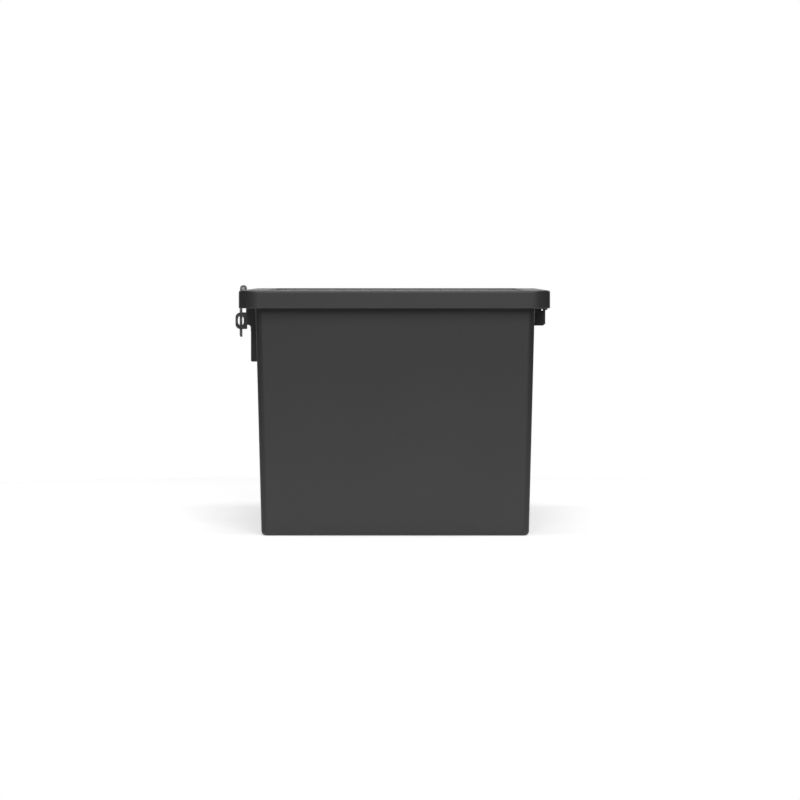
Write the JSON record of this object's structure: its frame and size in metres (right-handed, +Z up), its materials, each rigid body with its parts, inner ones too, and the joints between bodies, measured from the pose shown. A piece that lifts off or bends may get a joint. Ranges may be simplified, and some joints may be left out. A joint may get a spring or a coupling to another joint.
{
  "type": "lidded bin",
  "caption": "Lockable moulded plastic bin with an overhanging hinged lid, a strap latch over a padlock eye at the front, and hinges at the rear.",
  "frame": {"origin": "middle of the bin's base, on the surface it stands on", "axes": "+Z up, X along the bin's long side, -Y towards the latch at the front, +Y towards the hinges at the rear"},
  "size_m": [0.6, 0.4177, 0.3216],
  "materials": {
    "bin_plastic": "fine moulded texture",
    "lid_plastic": "fine moulded texture",
    "bracket_plastic": "satin",
    "gasket_rubber": "closed-cell foam",
    "strap_plastic": "satin moulded",
    "bush_plastic": "natural nylon",
    "brass": "knurled",
    "coated_steel": "dark grey powder coat",
    "steel": "zinc plated"
  },
  "bodies": {
    "bin": {"bin_body": "bin_plastic", "latch_bracket": "bracket_plastic", "latch_bracket_bolts": "steel", "latch_bracket_nuts": "steel", "latch_bracket_backing_plate": "steel", "eye_plate": "coated_steel", "eye_plate_screws": "steel", "hinge_base_leaf_left": "coated_steel", "hinge_base_leaf_right": "coated_steel", "hinge_base_screws_left": "steel", "hinge_base_screws_right": "steel", "hinge_inserts_left": "brass", "hinge_inserts_right": "brass"},
    "lid": {"lid_shell": "lid_plastic", "lid_gasket": "gasket_rubber", "hinge_lid_leaf_left": "coated_steel", "hinge_lid_leaf_right": "coated_steel", "hinge_pin_left": "steel", "hinge_pin_right": "steel", "hinge_lid_screws_left": "steel", "hinge_lid_screws_right": "steel", "hinge_backing_plate_left": "steel", "hinge_backing_plate_right": "steel", "latch_mount": "coated_steel", "latch_mount_screws": "steel", "latch_backing_plate": "steel", "latch_pin": "steel"},
    "strap": {"latch_strap": "strap_plastic", "latch_bush": "bush_plastic"}
  },
  "joints": [
    {"name": "lid_hinge", "type": "hinge", "parent": "bin", "child": "lid", "pos_m": [0, 0.1963, 0.2931], "axis": [-1, 0, 0], "range_deg": [0, 100]},
    {"name": "latch_swing", "type": "hinge", "parent": "lid", "child": "strap", "pos_m": [0, -0.2066, 0.3173], "axis": [-1, 0, 0], "range_deg": [0, 235]}
  ]
}
